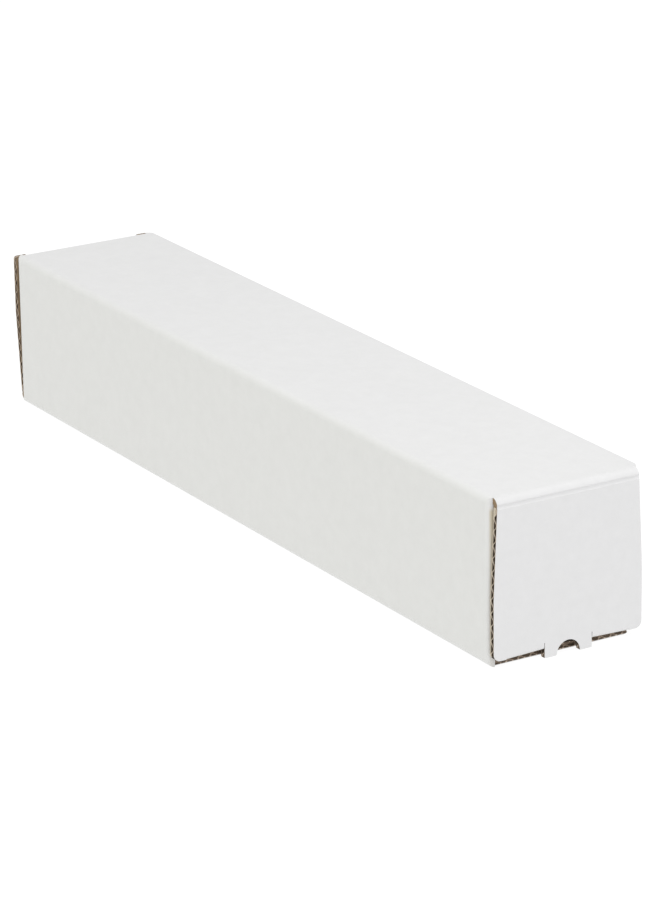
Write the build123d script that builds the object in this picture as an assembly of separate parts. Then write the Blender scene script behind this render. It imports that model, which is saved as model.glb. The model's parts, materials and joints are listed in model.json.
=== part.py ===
from build123d import *
from math import acos, cos, floor, pi, sin, sqrt
import os

# Square mailing tube, die-cut and folded from one sheet of corrugated board.
# The tube lies on its long side: X runs along it, Z is up, and the floor is Z = 0.
# The origin is the middle of the underside. The front end is at +X.
# Three long folds and one glued lap close the four walls into a sleeve.
# Each end has two dust flaps folded in from the side walls, and one end flap over them.
# The front end flap hangs from the top wall and the back one stands on the bottom wall.

# Board
board = 3.2                 # thickness of the corrugated board
liner = 0.4                 # thickness of each flat facing paper
medium = 0.3                # thickness of the wavy paper between the facings
flute_pitch = 6.6           # length of one wave, about 46 to the foot
glue_line = 1.3             # width over which a wave's crest is stuck to a facing

# Inside sizes of the closed tube
inner_length = 457.2
inner_width = 76.2
inner_height = 76.2

# Folds
crease_radius = 0.3         # inside radius of the long folds and the dust flap folds
end_play = 0.8              # space between the dust flaps and an end flap
score_gap = 0.15            # open width of the crease that an end flap turns on
crease_width = 2.4          # width of the pressed groove along that crease
crease_depth = 0.5          # depth of that groove
tuck_play = 0.45            # space between the tuck's arc and the wall that it slides on

# Glued lap, folded up inside the right wall
wall_lift = 2.6             # from the floor to the right wall's cut edge
lap_height = 32.0           # top edge of the lap above the floor
lap_end_gap = 2.0           # from a dust flap's inner face to the lap's end
lap_taper = 6.0             # how much shorter the lap is at its top edge, each end

# Dust flaps
dust_length = 33.0          # from the side wall's outer face to the free edge
dust_wall_gap = 1.0         # from the hinged wall's inner face to the flap's edge
dust_tuck_gap = 1.6         # from the tuck's upper face to the flap's other edge
dust_taper_gap = 0.5        # from the tuck's side edge to the slanted edge
dust_corner = 6.0           # radius of the two free corners

# End flaps
hinge_inset = 2.4           # from the wall's outer face to the flap's side edge, at the crease
side_inset = 0.4            # the same, past the taper
taper_share = 0.6           # share of the flap's height that the taper takes
front_corner = 3.6          # radius of the front flap's two corners at its free end
front_corner_gap = 4.1      # from the tuck wall's outer face to those corners' cut edge
back_corner = 1.6           # radius of the back flap's two corners at its free end
back_corner_gap = 1.2       # from the top wall's outer face to those corners' cut edge
wall_setback = 1.5          # how far the wall under the tuck ends short of the side walls
hinge_margin = 2.2          # crushed board beside the crease, with no open waves
bend_margin = 1.0           # crushed board beside the tuck's bend
fold_margin = 1.5           # crushed board beside a dust flap's fold

# Tuck, the strip that slides in between the dust flaps and the wall
tuck_inset = 7.2            # from the side wall's outer face to the tuck's side edge
tuck_length = 24.0          # along its underside, from the bend to the tip
tuck_corner = 9.0           # radius of its two free corners

# Tab, the tongue that stays in the flap's plane and covers the wall's cut edge
tab_width = 26.0
front_tab_gap = 0.2         # from the front tab's free edge to the floor
back_tab_gap = 2.3          # from the back tab's free edge to the top wall's outer face
tab_slit = 0.3              # width of the cut between the tab and the tuck
slot_depth = 4.5            # depth of the slot that the tab leaves in the tuck
notch_radius = 6.5          # half-round thumb notch in the tab's free edge

# Sizes that follow from those above
outer_width = inner_width + 2 * board
outer_height = inner_height + 2 * board
wall_length = inner_length + 2 * board
fold_radius = board + crease_radius
hinge_radius = board + end_play
half_length = wall_length / 2
half_width = outer_width / 2
tuck_half = half_width - tuck_inset
core = board - 2 * liner
lap_slit = crease_radius + end_play     # cut that frees the bottom wall past the lap's ends

# The crease that the front end flap turns on lies on the flap's outer face
crease_x = half_length + hinge_radius
crease_z = outer_height - hinge_radius
tuck_radius = crease_z - board - tuck_play          # underside of the tuck, about the crease
bend_depth = sqrt((tuck_radius - hinge_radius) ** 2 - hinge_radius ** 2)
bend_angle = acos(bend_depth / (tuck_radius - hinge_radius))
tuck_angle = tuck_length / tuck_radius

# A half turn about the tube's cross axis takes the front end onto the back end
to_back = Pos(0, 0, outer_height) * Rot(0, 180, 0)


def about_crease(radius, angle):
    # A point in the XZ plane, by its distance from the crease and its angle inward from straight down
    return (crease_x - radius * sin(angle), crease_z - radius * cos(angle))


def wave_outline(middle, side):
    # One open channel of the board's section: distance along the board, distance from its mid-plane
    swing = (core - medium) / 2
    half = (flute_pitch - glue_line) / 2
    steps = 10
    outline = [(middle - half, side * core / 2), (middle + half, side * core / 2)]
    for i in range(steps + 1):
        along = half - 2 * half * i / steps
        depth = medium / 2 - swing * cos(2 * pi * along / flute_pitch)
        outline.append((middle + along, side * depth))
    return outline


def prism(outline, plane, half_span):
    # A solid to both sides of a plane, from a closed outline in it
    return extrude(plane * make_face(Polyline(outline, close=True)), half_span, both=True)


def wave_channels(start, end, place, plane, half_span):
    # Open channels between two distances along the board, which place turns into points of the plane
    count = floor(2 * (end - start) / flute_pitch - 1)
    first = (start + end - (count - 1) * flute_pitch / 2) / 2
    channels = []
    for i in range(count):
        side = 1 if i % 2 == 0 else -1
        outline = wave_outline(first + i * flute_pitch / 2, side)
        channels.append(prism([place(along, out) for along, out in outline], plane, half_span))
    return channels


def on_panel(along, out):
    # Along the flat panel, downward from the crease
    return (crease_x - board / 2 + out, crease_z - along)


def on_tuck(along, out):
    # Along the tuck's arc, inward from the bend
    return about_crease(tuck_radius - board / 2 + out, bend_angle + along / tuck_radius)


def on_dust_flap(along, out):
    # Along the right dust flap at the front, outward from the tube's middle plane
    return (half_length - board / 2 + out, along)


def crease_groove():
    # The shallow round groove pressed along the front crease
    half = crease_width / 2
    radius = (half ** 2 + crease_depth ** 2) / (2 * crease_depth)
    round_bar = extrude(Plane.XZ * Circle(radius), half_width, both=True)
    return Pos(crease_x + radius - crease_depth, 0, crease_z) * round_bar


def panel_outline(low, corner, tab_gap):
    # A flap's flat part, seen from the front: tapered sides, round corners, tab and notch
    top = crease_z - score_gap
    bend = crease_z - bend_depth
    taper_end = top - taper_share * (top - low)
    wide = half_width - side_inset
    narrow = half_width - hinge_inset
    tab_half = tab_width / 2
    face = make_face(Polyline([
        (-narrow, top),
        (narrow, top),
        (wide, taper_end),
        (wide, low),
        (tuck_half, low),
        (tuck_half, bend),
        (tab_half, bend),
        (tab_half, tab_gap),
        (-tab_half, tab_gap),
        (-tab_half, bend),
        (-tuck_half, bend),
        (-tuck_half, low),
        (-wide, low),
        (-wide, taper_end),
    ], close=True))
    free_corners = [v for v in face.vertices() if abs(abs(v.X) - wide) < 0.01 and abs(v.Y - low) < 0.01]
    face = fillet(free_corners, corner)
    return face - Pos(0, tab_gap) * Circle(notch_radius)


def tuck_solid():
    # The rounded bend and the tuck, whose underside is an arc about the crease
    bend_x = crease_x - hinge_radius
    bend_z = crease_z - bend_depth
    middle = (pi / 2 - bend_angle) / 2
    end = bend_angle + tuck_angle
    half = (bend_angle + end) / 2

    def on_bend(radius, angle):
        return (bend_x + radius * cos(angle), bend_z - radius * sin(angle))

    inner = hinge_radius - board
    outline = [
        ThreePointArc(on_bend(hinge_radius, 0), on_bend(hinge_radius, middle),
                      about_crease(tuck_radius, bend_angle)),
        ThreePointArc(about_crease(tuck_radius, bend_angle), about_crease(tuck_radius, half),
                      about_crease(tuck_radius, end)),
        Line(about_crease(tuck_radius, end), about_crease(tuck_radius - board, end)),
        ThreePointArc(about_crease(tuck_radius - board, end), about_crease(tuck_radius - board, half),
                      about_crease(tuck_radius - board, bend_angle)),
        ThreePointArc(about_crease(tuck_radius - board, bend_angle), on_bend(inner, middle),
                      on_bend(inner, 0)),
        Line(on_bend(inner, 0), on_bend(hinge_radius, 0)),
    ]
    strip = extrude(Plane.XZ * make_face(outline), tuck_half, both=True)

    # The tip's corners are rounded in plan, and the tab leaves a slot behind the panel
    tip_x = about_crease(tuck_radius - board, end)[0]
    reach = crease_x - tip_x
    plan = Pos(crease_x, 0) * RectangleRounded(2 * reach, 2 * tuck_half, tuck_corner)
    strip = strip & extrude(plan, outer_height)
    slot_width = tab_width + 2 * tab_slit
    slot_reach = board + slot_depth
    slot = Pos(crease_x - slot_reach / 2, 0, bend_z / 2) * Box(slot_reach, slot_width, bend_z)
    return strip - slot


def end_flap(corner_gap, corner, tab_gap):
    # An end flap as it hangs at the front: a fluted panel with its tab, its bend and its tuck
    outline = panel_outline(corner_gap, corner, tab_gap)
    panel = Pos(crease_x - board, 0, 0) * extrude(Plane.YZ * outline, board)
    panel_channels = wave_channels(hinge_margin, crease_z - tab_gap, on_panel, Plane.XZ, half_width)
    tuck_channels = wave_channels(bend_margin, tuck_length, on_tuck, Plane.XZ, tuck_half)
    panel = panel - panel_channels - crease_groove()
    tuck = tuck_solid() - tuck_channels
    return panel + tuck


def dust_flap_outline():
    # The right dust flap at the front, seen from the front: slanted beside the tuck
    tuck_top = crease_z - (tuck_radius - board) * cos(bend_angle)
    low = tuck_top + dust_tuck_gap
    high = outer_height - board - dust_wall_gap
    root = half_width - fold_radius
    free = half_width - dust_length
    slant_end = tuck_half + dust_taper_gap
    face = make_face(Polyline([
        (half_width, board),
        (root, board),
        (slant_end, low),
        (free, low),
        (free, high),
        (root, high),
        (half_width, high),
    ], close=True))
    return fillet([v for v in face.vertices() if abs(v.X - free) < 0.01], dust_corner)


def end_window():
    # What is cut out of the front end wall to leave two dust flaps, and the wall's setback
    window = Box(board, outer_width - 2 * fold_radius, inner_height)
    window = Pos(half_length - board / 2, 0, outer_height / 2) * window
    right = Pos(half_length - board, 0, 0) * extrude(Plane.YZ * dust_flap_outline(), board)

    # The dust flap's waves run up and down, and its free edge is cut through one of them
    free = half_width - dust_length
    middle_plane = Plane.XY.offset(outer_height / 2)
    right = right - wave_channels(free - flute_pitch / 2, half_width - fold_radius - fold_margin,
                                  on_dust_flap, middle_plane, inner_height / 2)

    # The wall's cut edge shows the long opening between a facing and the wave
    edge_x = half_length - wall_setback
    edge_half = half_width - fold_radius
    setback = Pos(edge_x + wall_setback / 2, 0, board / 2) * Box(wall_setback, 2 * edge_half, board)
    edge_outline = [(edge_x + along, board / 2 + out) for along, out in wave_outline(0, 1)]
    edge_channel = prism(edge_outline, Plane.XZ, edge_half)
    return window - right - mirror(right, about=Plane.XZ) + setback + edge_channel


def knuckle():
    # The top wall's rounded bend over the front end, down to the crease
    ring = Circle(hinge_radius) - Circle(hinge_radius - board)
    quarter = ring & Pos(hinge_radius / 2, hinge_radius / 2) * Rectangle(hinge_radius, hinge_radius)
    bend = extrude(Plane.XZ * quarter, half_width - hinge_inset, both=True)
    return Pos(half_length, 0, crease_z) * bend - crease_groove()


def sleeve_solid():
    # The four walls with rounded folds, and a square cut edge where the right wall ends near the floor
    section = Pos(0, outer_height / 2) * RectangleRounded(outer_width, outer_height, fold_radius)
    section += Pos(half_width - fold_radius / 2, fold_radius / 2) * Rectangle(fold_radius, fold_radius)
    section -= Pos(half_width - board / 2, wall_lift / 2) * Rectangle(board, wall_lift)
    walls = extrude(Plane.YZ * section, half_length, both=True)
    walls = walls & extrude(RectangleRounded(wall_length, outer_width, fold_radius), outer_height)
    walls -= Pos(0, 0, outer_height / 2) * Box(inner_length, inner_width, inner_height)

    # The open groove between the right wall's cut edge and the fold of the lap
    wall_inside = half_width - board
    groove = Pos(wall_inside - fold_radius / 2, fold_radius / 2) * Rectangle(fold_radius, fold_radius)
    groove -= Pos(wall_inside - fold_radius, fold_radius) * Circle(fold_radius)
    walls -= extrude(Plane.YZ * groove, half_length, both=True)

    # The lap, shorter than the tube so that the dust flaps fold in past it
    lap_half = inner_length / 2 - lap_end_gap
    lap_face = make_face(Polyline([
        (-lap_half, board),
        (lap_half, board),
        (lap_half - lap_taper, lap_height),
        (-lap_half + lap_taper, lap_height),
    ], close=True))
    lap = Pos(0, wall_inside, 0) * extrude(Plane.XZ * lap_face, board)
    walls += lap

    # Past the lap's ends the bottom wall is cut free of the right wall
    free_length = half_length - lap_half
    slit = Box(free_length, lap_slit, board)
    slit_x = half_length - free_length / 2
    for end in (-1, 1):
        walls -= Pos(end * slit_x, wall_inside - lap_slit / 2, board / 2) * slit

    window = end_window()
    walls = walls - window - to_back * window
    bend = knuckle()
    return walls + bend + to_back * bend


os.makedirs("parts", exist_ok=True)
front_flap = end_flap(front_corner_gap, front_corner, front_tab_gap)
back_flap = to_back * end_flap(back_corner_gap, back_corner, back_tab_gap)
export_step(sleeve_solid(), "parts/sleeve.step")
export_step(front_flap, "parts/front_end_flap.step")
export_step(back_flap, "parts/back_end_flap.step")
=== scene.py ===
import bpy
import bmesh
import json
from math import cos, pi, radians, sin, sqrt
from mathutils import Matrix, Vector


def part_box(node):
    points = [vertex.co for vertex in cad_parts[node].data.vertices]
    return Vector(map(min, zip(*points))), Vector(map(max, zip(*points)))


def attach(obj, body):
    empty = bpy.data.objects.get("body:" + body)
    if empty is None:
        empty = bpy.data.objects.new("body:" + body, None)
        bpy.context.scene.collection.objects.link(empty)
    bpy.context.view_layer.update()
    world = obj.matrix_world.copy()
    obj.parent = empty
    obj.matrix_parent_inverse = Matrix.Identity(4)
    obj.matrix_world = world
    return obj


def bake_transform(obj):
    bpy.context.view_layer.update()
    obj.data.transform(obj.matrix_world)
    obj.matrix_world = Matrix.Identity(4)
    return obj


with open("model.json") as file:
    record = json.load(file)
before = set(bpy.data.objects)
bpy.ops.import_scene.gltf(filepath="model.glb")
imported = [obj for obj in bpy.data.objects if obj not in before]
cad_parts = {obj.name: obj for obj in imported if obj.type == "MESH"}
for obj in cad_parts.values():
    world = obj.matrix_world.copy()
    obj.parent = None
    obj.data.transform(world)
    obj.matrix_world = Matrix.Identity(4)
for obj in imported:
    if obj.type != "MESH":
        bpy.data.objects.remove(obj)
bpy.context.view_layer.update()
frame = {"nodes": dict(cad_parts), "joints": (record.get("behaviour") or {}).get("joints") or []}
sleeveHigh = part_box("sleeve")[1]
print("frame loaded:", ", ".join(sorted(frame["nodes"])))

# Lengths are in metres, as the frame's are. The tube runs along X with its front end at +X.
board = {
    "thickness": 0.0032,
    "liner": 0.0004,
    "medium": 0.0003,         # thickness of the wavy paper
    "swing": 0.00105,         # how far its middle swings to either side of the board's middle
    "skin": 0.00025,          # depth to which a facing shows white at its edge
    "foldRadius": 0.0035,
    "hingeRadius": 0.004,     # outer radius of the bend over each end, and of the tuck's bend
    "flutePitch": 0.0066,
    "tuckPlay": 0.00045,
    "tabHalf": 0.01315,       # half the tab, and half the slit beside it
    "tuckInset": 0.0072,
    "wallSetback": 0.0015,    # how far the wall under the tuck ends short of the side walls
    "grooveDepth": 0.0005,    # the pressed groove along each crease
    "grooveRadius": 0.00169,
    "scoreGap": 0.00015,      # the slit under that groove, on which the flap turns
    "hingeHalf": 0.0389,      # half the end flap's width at the crease
    "flapHalf": 0.0409,       # and past its taper
    "taperHeight": 0.0446,    # how far below the crease the taper ends
    "cornerCut": 0.0026,      # below this height all of an end flap's section is cut edge
}
creases = {joint["name"]: Vector(joint["pos_m"]) for joint in frame["joints"]}
crease = creases["front_flap_hinge"]
tubeHeight = sleeveHigh.z
tubeHalfWidth = sleeveHigh.y
tuckHalf = tubeHalfWidth - board["tuckInset"]
wallEnd = crease.x - board["hingeRadius"]
tuckRadius = crease.z - board["thickness"] - board["tuckPlay"]
bendDrop = sqrt((tuckRadius - board["hingeRadius"]) ** 2 - board["hingeRadius"] ** 2)

# A half turn about the tube's cross axis takes the front end onto the back end
halfTurn = Matrix.Translation((0.0, 0.0, tubeHeight)) @ Matrix.Rotation(pi, 4, "Y")


def feed(tree, socket, value):
    # A plain number or colour is set on the socket, and anything else is linked to it
    if isinstance(value, (int, float, tuple)):
        socket.default_value = value
    else:
        tree.links.new(value, socket)


def maths(tree, operation, *values):
    node = tree.nodes.new("ShaderNodeMath")
    node.operation = operation
    for socket, value in zip(node.inputs, values):
        feed(tree, socket, value)
    return node.outputs[0]


def above(tree, value, limit):
    return maths(tree, "GREATER_THAN", value, limit)


def below(tree, value, limit):
    return maths(tree, "LESS_THAN", value, limit)


def allOf(tree, first, *others):
    for other in others:
        first = maths(tree, "MULTIPLY", first, other)
    return first


def anyOf(tree, first, *others):
    for other in others:
        first = maths(tree, "MAXIMUM", first, other)
    return first


def between(tree, value, low, high):
    return allOf(tree, above(tree, value, low), below(tree, value, high))


def inverse(tree, mask):
    return maths(tree, "SUBTRACT", 1.0, mask)


def pastEdge(tree, value, edge):
    # How far value lies past edge, never less than nothing
    return maths(tree, "MAXIMUM", maths(tree, "SUBTRACT", value, edge), 0.0)


def lengthOf(tree, first, second):
    squares = [maths(tree, "POWER", value, 2.0) for value in (first, second)]
    return maths(tree, "SQRT", maths(tree, "ADD", *squares))


def spread(tree, value, fromLow, fromHigh, toLow, toHigh):
    node = tree.nodes.new("ShaderNodeMapRange")
    feed(tree, node.inputs["Value"], value)
    ends = {"From Min": fromLow, "From Max": fromHigh, "To Min": toLow, "To Max": toHigh}
    for label, number in ends.items():
        node.inputs[label].default_value = number
    return node.outputs["Result"]


def blendColours(tree, mask, low, high):
    node = tree.nodes.new("ShaderNodeMix")
    node.data_type = "RGBA"
    for index, value in ((0, mask), (6, low), (7, high)):
        feed(tree, node.inputs[index], value)
    return node.outputs[2]


def blendValues(tree, mask, low, high):
    node = tree.nodes.new("ShaderNodeMix")
    node.data_type = "FLOAT"
    for index, value in ((0, mask), (2, low), (3, high)):
        feed(tree, node.inputs[index], value)
    return node.outputs[0]


def noise(tree, vector, scale, detail=3.0, roughness=0.5):
    node = tree.nodes.new("ShaderNodeTexNoise")
    node.inputs["Scale"].default_value = scale
    node.inputs["Detail"].default_value = detail
    node.inputs["Roughness"].default_value = roughness
    tree.links.new(vector, node.inputs["Vector"])
    return node.outputs["Fac"]


def stretch(tree, vector, scale):
    node = tree.nodes.new("ShaderNodeMapping")
    node.inputs["Scale"].default_value = scale
    tree.links.new(vector, node.inputs["Vector"])
    return node.outputs["Vector"]


def bump(tree, height, distance, strength):
    node = tree.nodes.new("ShaderNodeBump")
    node.inputs["Distance"].default_value = distance
    node.inputs["Strength"].default_value = strength
    tree.links.new(height, node.inputs["Height"])
    return node


def newGroup(name, inputs, outputs):
    # A shader node group; inputs are (kind, name, value), outputs are (kind, name)
    group = bpy.data.node_groups.new(name, "ShaderNodeTree")
    kinds = {"value": "NodeSocketFloat", "colour": "NodeSocketColor", "vector": "NodeSocketVector"}
    for kind, label, value in inputs:
        socket = group.interface.new_socket(label, in_out="INPUT", socket_type=kinds[kind])
        if value is not None:
            socket.default_value = value
    for kind, label in outputs:
        group.interface.new_socket(label, in_out="OUTPUT", socket_type=kinds[kind])
    return group, group.nodes.new("NodeGroupInput").outputs, group.nodes.new("NodeGroupOutput").inputs


def useGroup(tree, group, **inputs):
    node = tree.nodes.new("ShaderNodeGroup")
    node.node_tree = group
    for label, value in inputs.items():
        feed(tree, node.inputs[label], value)
    return node.outputs


paper = {
    "white": (0.725, 0.724, 0.728, 1.0),
    "whiteShade": (0.698, 0.697, 0.700, 1.0),
    "whiteFleck": (0.62, 0.60, 0.57, 1.0),
    "kraft": (0.30, 0.213, 0.132, 1.0),
    "kraftDark": (0.19, 0.13, 0.075, 1.0),
    "kraftPale": (0.40, 0.30, 0.20, 1.0),
    "cutPale": (0.58, 0.48, 0.39, 1.0),
    "cutBrown": (0.40, 0.315, 0.24, 1.0),
    # painted shade: the dark of the flute hollows and of the channels behind cut edges
    "cutPaintedShade": (0.10, 0.075, 0.055, 1.0),
    "cutCream": (0.60, 0.53, 0.43, 1.0),
    # painted reflection and shade: the cream that stands in for reflected brown light and shade on the fold
    # beside an end flap
    "paintedShadeAndReflection": (0.58, 0.52, 0.40, 1.0),
    "cloudScale": 140.0,      # soft clouds and dark fibres of the white facing, and its tooth
    "fleckScale": 2600.0,
    "toothScale": 900.0,
    "kraftCloudScale": 160.0,
    "kraftFibreScale": 2200.0,
    "tornScale": 1500.0,      # how ragged the wavy paper is where it is cut
    "streakScale": 1800.0,
    "patchScale": 28.0,       # patches in which the waves press through a facing more or less
    "ridgeDepth": 0.00006,
    "ridgeStrength": 0.5,
    "toothDepth": 0.00002,
    "toothStrength": 0.35,
    "whiteRoughness": 0.62,
    "brownRoughness": 0.92,
    "specular": 0.35,
}


def makeWhiteFacing():
    # Coated white facing: soft clouds where the pulp is uneven, and a few darker fibres
    group, given, result = newGroup("whiteFacing", [("vector", "Place", None)],
                                    [("colour", "Colour"), ("value", "Height")])
    place = given["Place"]
    cloud = noise(group, place, paper["cloudScale"], 5.0, 0.7)
    cloud = spread(group, cloud, 0.3, 0.7, 0.0, 1.0)
    fleck = noise(group, stretch(group, place, (1.0, 1.0, 2.6)), paper["fleckScale"], 1.0)
    fleck = spread(group, fleck, 0.72, 0.84, 0.0, 0.4)
    colour = blendColours(group, cloud, paper["whiteShade"], paper["white"])
    colour = blendColours(group, fleck, colour, paper["whiteFleck"])
    tooth = noise(group, place, paper["toothScale"], 5.0, 0.7)
    group.links.new(colour, result["Colour"])
    group.links.new(tooth, result["Height"])
    return group


def makeKraftFacing():
    # Brown facing: long fibres, darker and paler by turns
    group, given, result = newGroup("kraftFacing", [("vector", "Place", None)],
                                    [("colour", "Colour"), ("value", "Height")])
    place = given["Place"]
    cloud = noise(group, place, paper["kraftCloudScale"], 4.0, 0.6)
    cloud = spread(group, cloud, 0.3, 0.7, 0.0, 1.0)
    fibres = noise(group, stretch(group, place, (1.0, 1.0, 0.12)), paper["kraftFibreScale"], 3.0, 0.7)
    colour = blendColours(group, cloud, paper["kraftDark"], paper["kraft"])
    colour = blendColours(group, spread(group, fibres, 0.5, 0.75, 0.0, 0.8), colour, paper["kraftPale"])
    group.links.new(colour, result["Colour"])
    group.links.new(fibres, result["Height"])
    return group


def makeCutBoard():
    # The board's section where it is cut: the wavy paper pale, the hollows beside it painted dark as shade
    group, given, result = newGroup(
        "cutBoard", [("vector", "Place", None), ("value", "Along", 0.0), ("value", "Out", 0.0),
                     ("value", "Pale", 0.0)], [("colour", "Colour")])
    turns = maths(group, "MULTIPLY", given["Along"], 2.0 * pi / board["flutePitch"])
    wave = maths(group, "MULTIPLY", maths(group, "COSINE", turns), board["swing"])
    offset = maths(group, "ABSOLUTE", maths(group, "SUBTRACT", given["Out"], wave))
    torn = spread(group, noise(group, given["Place"], paper["tornScale"], 3.0, 0.7), 0.3, 0.7, 0.7, 2.2)
    reach = maths(group, "MULTIPLY", torn, board["medium"])
    # Painted shade: away from the wavy paper the hollows are painted dark
    dark = above(group, maths(group, "SUBTRACT", offset, reach), 0.0)
    streaks = noise(group, stretch(group, given["Place"], (1.0, 0.1, 1.0)), paper["streakScale"], 3.0, 0.7)
    streaks = spread(group, streaks, 0.35, 0.65, 0.0, 1.0)
    wavy = blendColours(group, streaks, paper["cutBrown"], paper["cutPale"])
    hollow = blendColours(group, maths(group, "MULTIPLY", streaks, 0.4), paper["cutPaintedShade"], paper["cutBrown"])
    section = blendColours(group, dark, wavy, hollow)

    # The half nearer the inside can be paler, as the photograph has it beside the front flap
    innerHalf = spread(group, given["Out"], -0.0001, 0.0006, 1.0, 0.0)
    innerHalf = maths(group, "MULTIPLY", innerHalf, given["Pale"])
    group.links.new(blendColours(group, innerHalf, section, paper["cutCream"]), result["Colour"])
    return group


def makeWashBoard():
    # The faint ridges of the waves under a facing, uneven along their length
    group, given, result = newGroup("washBoard", [("vector", "Place", None), ("value", "Along", 0.0)],
                                    [("value", "Height")])
    turns = maths(group, "MULTIPLY", given["Along"], 2.0 * pi / board["flutePitch"])
    wave = spread(group, maths(group, "SINE", turns), -1.0, 1.0, 0.0, 1.0)
    patches = noise(group, given["Place"], paper["patchScale"], 2.0)
    strength = spread(group, patches, 0.3, 0.7, 0.35, 1.0)
    group.links.new(maths(group, "MULTIPLY", wave, strength), result["Height"])
    return group


whiteFacing = makeWhiteFacing()
kraftFacing = makeKraftFacing()
cutBoard = makeCutBoard()
washBoard = makeWashBoard()
print("shader groups made")


def boardMaterial(name, surfaces, firstWave, turned=False):
    # Board with its white facing outside, its waves where it is cut, and brown everywhere else
    material = bpy.data.materials.new(name)
    material.use_nodes = True
    tree = material.node_tree
    tree.nodes.clear()
    shader = tree.nodes.new("ShaderNodeBsdfPrincipled")
    output = tree.nodes.new("ShaderNodeOutputMaterial")
    tree.links.new(shader.outputs[0], output.inputs[0])
    place = tree.nodes.new("ShaderNodeTexCoord").outputs["Object"]
    if turned:
        turn = tree.nodes.new("ShaderNodeMapping")
        turn.inputs["Rotation"].default_value = (0.0, pi, 0.0)
        turn.inputs["Location"].default_value = (0.0, 0.0, tubeHeight)
        tree.links.new(place, turn.inputs["Vector"])
        place = turn.outputs["Vector"]
    parts = tree.nodes.new("ShaderNodeSeparateXYZ")
    tree.links.new(place, parts.inputs[0])
    x, y, z = parts.outputs
    look = surfaces(tree, x, y, z, firstWave)
    outer = look["outer"]
    along = look["along"]
    white = useGroup(tree, whiteFacing, Place=place)
    brown = useGroup(tree, kraftFacing, Place=place)

    # The back end's cut edges are as dark inside as outside
    pale = 0.0 if turned else look["pale"]
    cut = useGroup(tree, cutBoard, Place=place, Along=along, Out=look["out"], Pale=pale)
    ridges = useGroup(tree, washBoard, Place=place, Along=along)
    # Painted shade: the channels deep behind cut edges are painted dark
    section = blendColours(tree, look["paintedDeepShade"], cut["Colour"], paper["cutPaintedShade"])
    bare = blendColours(tree, look["core"], brown["Colour"], section)
    # Painted reflection and shade: the white facing turns cream on the fold beside the flap's edge
    facing = blendColours(tree, look["paintedShadeAndReflection"], white["Colour"], paper["paintedShadeAndReflection"])
    tree.links.new(blendColours(tree, outer, bare, facing), shader.inputs["Base Color"])
    rough = spread(tree, outer, 0.0, 1.0, paper["brownRoughness"], paper["whiteRoughness"])
    tree.links.new(rough, shader.inputs["Roughness"])
    shader.inputs["Specular IOR Level"].default_value = paper["specular"]
    coarse = bump(tree, ridges["Height"], paper["ridgeDepth"], paper["ridgeStrength"])
    tooth = blendValues(tree, outer, brown["Height"], white["Height"])
    fine = bump(tree, tooth, paper["toothDepth"], paper["toothStrength"])
    tree.links.new(coarse.outputs[0], fine.inputs["Normal"])
    tree.links.new(fine.outputs[0], shader.inputs["Normal"])
    return material


# Where one surface of the board passes into the next
marks = {
    "onLimit": 0.00002,       # allowance where a surface lies right on a limit
    "clearOfLimit": 0.0001,   # a wider one, where no other surface is near
    "grooveAllowance": 0.00006,
    "innerPaper": 0.00005,    # depth to which an end flap's inner face stays brown
    "solidBoard": 0.0005,     # how far below the crease an end flap's board has no waves
    "hollowStart": 0.0004,    # how far behind a cut edge the painted shade of the hollows begins
    "cutReach": 0.0020,       # how far to either side of the wall's cut edge its paper shows
    "paleShare": 0.85,        # how pale the inner half of an end flap's side edges is
}

# Painted reflection and shade on the fold beside an end flap's edge, standing in for reflected brown light
# there, as distances from the side wall's outer face, from the walls' end and above the crease
reflection = {
    "side": (0.0034, 0.0026),
    "end": (0.0012, 0.0004),
    "height": (-0.055, -0.005),
    "least": 0.2,
    "fade": (-0.003, -0.0005),
}


def inGroove(tree, beyond, up):
    # On the round of the pressed groove; beyond and up are measured from the crease
    centre = board["grooveRadius"] - board["grooveDepth"]
    reach = lengthOf(tree, maths(tree, "SUBTRACT", beyond, centre), up)
    return below(tree, reach, board["grooveRadius"] + marks["grooveAllowance"])


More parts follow.
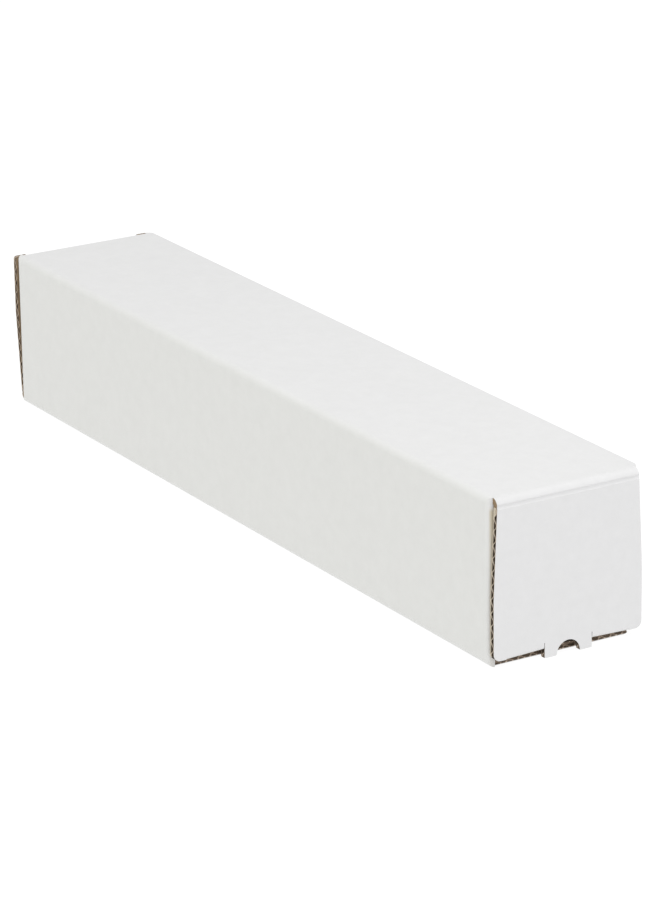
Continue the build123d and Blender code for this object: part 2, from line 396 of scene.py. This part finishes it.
def sleeveSurfaces(tree, x, y, z, firstWave):
    # White where a point lies within one facing of the folded outside
    skin, liner = board["skin"], board["liner"]
    fold, hinge = board["foldRadius"], board["hingeRadius"]
    inside = fold - board["thickness"]
    middle = tubeHeight / 2
    lifted = maths(tree, "SUBTRACT", z, middle)
    across = maths(tree, "ABSOLUTE", y)
    away = maths(tree, "ABSOLUTE", x)
    sideways = pastEdge(tree, across, tubeHalfWidth - fold)
    upward = pastEdge(tree, maths(tree, "ABSOLUTE", lifted), middle - fold)
    endward = pastEdge(tree, away, wallEnd - fold)
    wallReach = lengthOf(tree, sideways, upward)
    endReach = lengthOf(tree, sideways, endward)
    inWalls = below(tree, away, wallEnd + marks["onLimit"])
    folded = anyOf(tree, above(tree, wallReach, fold - skin), above(tree, endReach, fold - skin))

    # Over each end the bend's outside is round about a point on the crease's level
    towardCrease = maths(tree, "MULTIPLY", maths(tree, "SIGN", x), lifted)
    overEnd = pastEdge(tree, towardCrease, middle - hinge)
    bend = above(tree, lengthOf(tree, overEnd, pastEdge(tree, away, wallEnd)), hinge - skin)
    aboveCrease = maths(tree, "SUBTRACT", towardCrease, middle - hinge)
    groove = inGroove(tree, maths(tree, "SUBTRACT", away, crease.x), aboveCrease)
    bent = anyOf(tree, bend, groove)
    outer = anyOf(tree, allOf(tree, folded, inWalls), allOf(tree, bent, inverse(tree, inWalls)))

    # Between the facings a cut shows the waves; the hollows under the tuck are painted dark with shade behind
    # their edge
    low, high = inside + liner, fold - liner
    wallCore = between(tree, wallReach, low, high)
    flat = below(tree, sideways, marks["clearOfLimit"])
    dustCore = allOf(tree, between(tree, endReach, low, high), flat)
    core = allOf(tree, anyOf(tree, wallCore, dustCore), inWalls)
    hollow = between(tree, away, wallEnd - fold, wallEnd - board["wallSetback"] - marks["cutReach"])
    paintedDeepShade = allOf(tree, wallCore, hollow, below(tree, across, tubeHalfWidth - fold))
    reach = blendValues(tree, dustCore, wallReach, endReach)
    out = maths(tree, "SUBTRACT", reach, (inside + fold) / 2)

    # The walls' waves are counted from the front wall's cut edge, the dust flaps' from the middle
    alongWall = maths(tree, "SUBTRACT", away, wallEnd - board["wallSetback"])
    alongDust = maths(tree, "SUBTRACT", across, firstWave)
    onDustFlap = above(tree, away, wallEnd - board["thickness"])
    along = blendValues(tree, onDustFlap, alongWall, alongDust)

    # The wall under the tuck is cut down the length of a wave, so its edge is all paper
    nearCut = below(tree, maths(tree, "ABSOLUTE", alongWall), marks["cutReach"])
    onCut = allOf(tree, nearCut, inverse(tree, dustCore))
    out = blendValues(tree, onCut, out, board["swing"])
    along = blendValues(tree, onCut, along, 0.0)

    # Painted reflection and shade: the fold beside the flap's upper edge is painted cream where reflected
    # brown light and shade fall on it
    side = [tubeHalfWidth - inset for inset in reflection["side"]]
    end = [wallEnd - inset for inset in reflection["end"]]
    paintedShadeAndReflection = allOf(tree, spread(tree, across, *side, 0.0, 1.0), spread(tree, away, *end, 0.0, 1.0),
                  spread(tree, aboveCrease, *reflection["height"], reflection["least"], 1.0),
                  spread(tree, aboveCrease, *reflection["fade"], 1.0, 0.0))
    return {"outer": outer, "core": core, "paintedDeepShade": paintedDeepShade, "out": out, "along": along,
            "paintedShadeAndReflection": paintedShadeAndReflection, "pale": 0.0}


def flapSurfaces(tree, x, y, z, firstWave):
    # White on the panel's face, round the bend, and under the tuck
    skin, liner, thickness = board["skin"], board["liner"], board["thickness"]
    radius = board["hingeRadius"]
    inward = maths(tree, "SUBTRACT", x, crease.x)
    down = maths(tree, "SUBTRACT", z, crease.z)
    across = maths(tree, "ABSOLUTE", y)
    face = anyOf(tree, above(tree, inward, -skin), inGroove(tree, inward, down))
    beside = between(tree, across, board["tabHalf"], tuckHalf + marks["clearOfLimit"])
    low = below(tree, down, marks["onLimit"] - bendDrop)
    fromBend = lengthOf(tree, maths(tree, "ADD", inward, radius), maths(tree, "ADD", down, bendDrop))
    onBend = allOf(tree, above(tree, fromBend, radius - skin), above(tree, inward, -radius), low, beside)
    fromCrease = lengthOf(tree, inward, down)
    onTuck = allOf(tree, above(tree, fromCrease, tuckRadius - skin), below(tree, inward, -radius))
    outer = anyOf(tree, face, onBend, onTuck)

    # The waves run across the flap, so its two side edges show them end on
    inPanel = between(tree, inward, marks["innerPaper"] - thickness, -liner)
    panelCore = allOf(tree, inPanel, below(tree, down, -marks["solidBoard"]))
    past = below(tree, inward, -thickness - marks["clearOfLimit"])
    inTuck = between(tree, fromCrease, tuckRadius - thickness + liner, tuckRadius - liner)
    tuckCore = allOf(tree, inTuck, past)
    core = anyOf(tree, panelCore, tuckCore)
    out = maths(tree, "ADD", inward, thickness / 2)
    along = maths(tree, "SUBTRACT", z, firstWave)

    # Behind the side edges the hollows are painted dark as shade
    edge = spread(tree, down, -board["taperHeight"], -board["scoreGap"],
                  board["flapHalf"], board["hingeHalf"])
    fromEdge = maths(tree, "SUBTRACT", edge, across)
    behindPanel = allOf(tree, above(tree, fromEdge, marks["hollowStart"]), above(tree, z, board["cornerCut"]))
    behindTuck = below(tree, across, tuckHalf - marks["hollowStart"])
    paintedDeepShade = anyOf(tree, allOf(tree, panelCore, behindPanel), allOf(tree, tuckCore, behindTuck))
    atSide = above(tree, across, board["hingeHalf"] - marks["hollowStart"])
    pale = maths(tree, "MULTIPLY", atSide, marks["paleShare"])
    return {"outer": outer, "core": core, "paintedDeepShade": paintedDeepShade, "out": out, "along": along,
            "paintedShadeAndReflection": 0.0, "pale": pale}


# Where a wave's crest touches the outer facing: on the dust flaps, the front flap and the back flap
firstWaves = {"dustFlap": 0.0058, "frontFlap": 0.07625, "backFlap": 0.07565}
sleeveBoard = boardMaterial("sleeveBoard", sleeveSurfaces, firstWaves["dustFlap"])
frontBoard = boardMaterial("frontFlapBoard", flapSurfaces, firstWaves["frontFlap"])
backBoard = boardMaterial("backFlapBoard", flapSurfaces, firstWaves["backFlap"], turned=True)
boards = {"sleeve": sleeveBoard, "front_end_flap": frontBoard, "back_end_flap": backBoard}
for node, material in boards.items():
    mesh = frame["nodes"][node].data
    if not mesh.materials:
        mesh.materials.append(material)
    for index in range(len(mesh.materials)):
        mesh.materials[index] = material
print("board materials set")


def boxPlace(middle, size):
    # Takes a cube of size 1 to a box
    return Matrix.Translation(middle) @ Matrix.Diagonal(size).to_4x4()


def addMesh(name, shape, material):
    mesh = bpy.data.meshes.new(name)
    shape.to_mesh(mesh)
    shape.free()
    mesh.materials.append(material)
    made = bpy.data.objects.new(name, mesh)
    bpy.context.scene.collection.objects.link(made)
    return made


def addFlapPiece(name, shape, material, turned):
    # Every such piece is shaped at the front end
    if turned:
        bmesh.ops.transform(shape, matrix=halfTurn, verts=shape.verts)
    return addMesh(name, shape, material)


# The paper and crushed board that carry on across each end flap's crease
creaseFill = {
    "halfWidth": 0.03885,
    "slices": 14,
    "innerGap": 0.00005,      # how far the crushed board keeps from the flap's inner face
    "overlap": 0.00002,       # how far it reaches into the parts above and below
    "skinDepth": 0.00008,     # thickness of the facing over the crease
    "skinRadius": 0.0025,     # radius of the soft dip that it makes, and how deep that is
    "dip": 0.00028,
    "skinAngle": 0.475,       # half of its arc about the dip's middle, in radians
    "skinSteps": 96,
}


def makeCreaseFill(name, material, turned):
    shape = bmesh.new()
    width = 2 * creaseFill["halfWidth"]
    inner = crease.x - board["thickness"] + creaseFill["innerGap"]
    outside = crease.x - board["grooveDepth"]
    top = crease.z + creaseFill["overlap"]
    bottom = crease.z - board["scoreGap"] - creaseFill["overlap"]
    size = Vector((outside - inner, width, top - bottom))
    middle = Vector(((outside + inner) / 2, 0.0, (top + bottom) / 2))
    block = bmesh.ops.create_cube(shape, size=1.0, matrix=boxPlace(middle, size))
    upright = {edge for corner in block["verts"] for edge in corner.link_edges
               if abs(edge.verts[0].co.z - edge.verts[1].co.z) > size.z / 2}
    bmesh.ops.subdivide_edges(shape, edges=list(upright), cuts=creaseFill["slices"], use_grid_fill=True)

    # The facing is spun about the middle of a dip that is shallower than the groove
    dipMiddle = Vector((crease.x + creaseFill["skinRadius"] - creaseFill["dip"], 0.0, crease.z))
    skinMiddle = creaseFill["skinRadius"] + creaseFill["skinDepth"] / 2
    start = Matrix.Translation(dipMiddle) @ Matrix.Rotation(creaseFill["skinAngle"], 4, "Y")
    section = boxPlace(Vector((-skinMiddle, 0.0, 0.0)), Vector((creaseFill["skinDepth"], width, 1.0)))
    facing = bmesh.ops.create_grid(shape, x_segments=1, y_segments=1, size=0.5, matrix=start @ section)
    faces = {face for corner in facing["verts"] for face in corner.link_faces}
    edges = {edge for face in faces for edge in face.edges}
    bmesh.ops.spin(shape, geom=list(faces) + list(edges) + facing["verts"], cent=dipMiddle,
                   axis=(0.0, 1.0, 0.0), angle=-2 * creaseFill["skinAngle"], steps=creaseFill["skinSteps"])
    bmesh.ops.recalc_face_normals(shape, faces=shape.faces)
    piece = addFlapPiece(name, shape, material, turned)
    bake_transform(piece)


makeCreaseFill("frontCreaseFill", frontBoard, False)
makeCreaseFill("backCreaseFill", backBoard, True)
print("crease fills made")


# The facing over each tuck's bend is pinched tighter than the board's middle, beside the tab on both sides
bendCover = {
    "depth": 0.0028,          # from the flap's outer face inward
    "bottom": 0.0039,         # height of its underside
    "gapToTab": 0.00015,
    "riseToTab": 0.0007,      # how much higher its underside is beside the tab
    "corner": 0.0013,         # radius of the pinched corner
    "cornerSteps": 6,
    "tolerance": 0.0001,      # within which a corner counts as lying on a side
}


def makeBendCover(name, material, flapBody, turned):
    shape = bmesh.new()
    tolerance = bendCover["tolerance"]
    bottom = bendCover["bottom"]
    top = crease.z - bendDrop
    near = board["tabHalf"] + bendCover["gapToTab"]
    size = Vector((bendCover["depth"], tuckHalf - near, top - bottom))
    for side in (-1, 1):
        middle = Vector((crease.x - size.x / 2, side * (near + tuckHalf) / 2, bottom + size.z / 2))
        bmesh.ops.create_cube(shape, size=1.0, matrix=boxPlace(middle, size))
    pinched = [edge for edge in shape.edges
               if all(corner.co.x > crease.x - tolerance and corner.co.z < bottom + tolerance
                      for corner in edge.verts)]
    bmesh.ops.bevel(shape, geom=pinched, offset=bendCover["corner"], segments=bendCover["cornerSteps"],
                    profile=0.5, affect="EDGES", material=-1)
    besideTab = [corner for corner in shape.verts
                 if abs(corner.co.y) < near + tolerance and corner.co.z < top - tolerance]
    bmesh.ops.translate(shape, verts=besideTab, vec=(0.0, 0.0, bendCover["riseToTab"]))
    piece = addFlapPiece(name, shape, material, turned)
    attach(piece, flapBody)


makeBendCover("frontBendCover", frontBoard, "front_flap", False)
makeBendCover("backBendCover", backBoard, "back_flap", True)
print("bend covers made")


# Studio: a pale floor that is clear from below, a bright even room and two large soft lamps
studio = {
    "floorSize": 40.0,
    "floorCells": 41,         # an odd number, so that one cell lies under the whole tube
    "floorGap": 0.0001,       # the floor lies this far under the tube, so that the two don't share a plane
    "floorColour": (0.10, 0.10, 0.10, 1.0),
    "floorRoughness": 0.9,
    "floorSpecular": 0.1,
    "glowColour": (1.0, 1.0, 1.0, 1.0),
    "floorGlow": 0.95,
    "roomColour": (1.0, 1.0, 1.0, 1.0),
    "roomStrength": 0.80,
    "lamps": (
        {"name": "mainLamp", "place": (0.95, 0.0, 1.9), "size": 1.2, "power": 17.5,
         "colour": (1.0, 1.0, 1.0)},
        {"name": "sideLamp", "place": (-0.1, -2.2, 0.4), "size": 1.6, "power": 5.5,
         "colour": (0.94, 1.0, 0.5)},
    ),
}


def makeFloor():
    material = bpy.data.materials.new("paleFloor")
    material.use_nodes = True
    tree = material.node_tree
    shader = tree.nodes["Principled BSDF"]
    fromBelow = tree.nodes.new("ShaderNodeNewGeometry").outputs["Backfacing"]
    tree.links.new(inverse(tree, fromBelow), shader.inputs["Alpha"])
    shader.inputs["Base Color"].default_value = studio["floorColour"]
    shader.inputs["Roughness"].default_value = studio["floorRoughness"]
    shader.inputs["Specular IOR Level"].default_value = studio["floorSpecular"]
    shader.inputs["Emission Color"].default_value = studio["glowColour"]
    shader.inputs["Emission Strength"].default_value = studio["floorGlow"]
    shape = bmesh.new()
    cells = studio["floorCells"]
    bmesh.ops.create_grid(shape, x_segments=cells, y_segments=cells, size=studio["floorSize"] / 2)
    floor = addMesh("floor", shape, material)
    floor.location.z = -studio["floorGap"]


def makeLight():
    world = bpy.data.worlds.new("room")
    world.use_nodes = True
    background = world.node_tree.nodes["Background"]
    background.inputs["Color"].default_value = studio["roomColour"]
    background.inputs["Strength"].default_value = studio["roomStrength"]
    bpy.context.scene.world = world
    for wanted in studio["lamps"]:
        lamp = bpy.data.lights.new(wanted["name"], "AREA")
        lamp.size = wanted["size"]
        lamp.energy = wanted["power"]
        lamp.color = wanted["colour"]
        lampObject = bpy.data.objects.new(wanted["name"], lamp)
        lampObject.location = wanted["place"]
        lampObject.rotation_euler = (-Vector(wanted["place"])).to_track_quat("-Z", "Y").to_euler()
        bpy.context.scene.collection.objects.link(lampObject)
    bpy.context.scene.view_settings.view_transform = "Standard"
    bpy.context.scene.view_settings.look = "None"


# Camera: a long lens from above the front left, slightly rolled, as the photograph has it
camera = {
    "azimuth": 59.105,
    "elevation": 19.0,
    "roll": -0.815,
    "distance": 2.17605,
    "aim": (0.00924, 0.00918, 0.03196),
    "lens": 173.53,
    "sensorWidth": 36.0,
    "clipStart": 0.05,
    "clipEnd": 50.0,
}


def makeCamera():
    data = bpy.data.cameras.new("camera")
    data.sensor_width = camera["sensorWidth"]
    data.lens = camera["lens"]
    data.clip_start = camera["clipStart"]
    data.clip_end = camera["clipEnd"]
    eye = bpy.data.objects.new("camera", data)
    bpy.context.scene.collection.objects.link(eye)
    azimuth, elevation = radians(camera["azimuth"]), radians(camera["elevation"])
    back = Vector((sin(azimuth) * cos(elevation), -cos(azimuth) * cos(elevation), sin(elevation)))
    level = (-back).to_track_quat("-Z", "Y")
    eye.rotation_mode = "QUATERNION"
    eye.rotation_quaternion = level @ Matrix.Rotation(radians(camera["roll"]), 3, "Z").to_quaternion()
    eye.location = Vector(camera["aim"]) + back * camera["distance"]
    bpy.context.scene.camera = eye


makeFloor()
makeLight()
makeCamera()
print("studio and camera set")
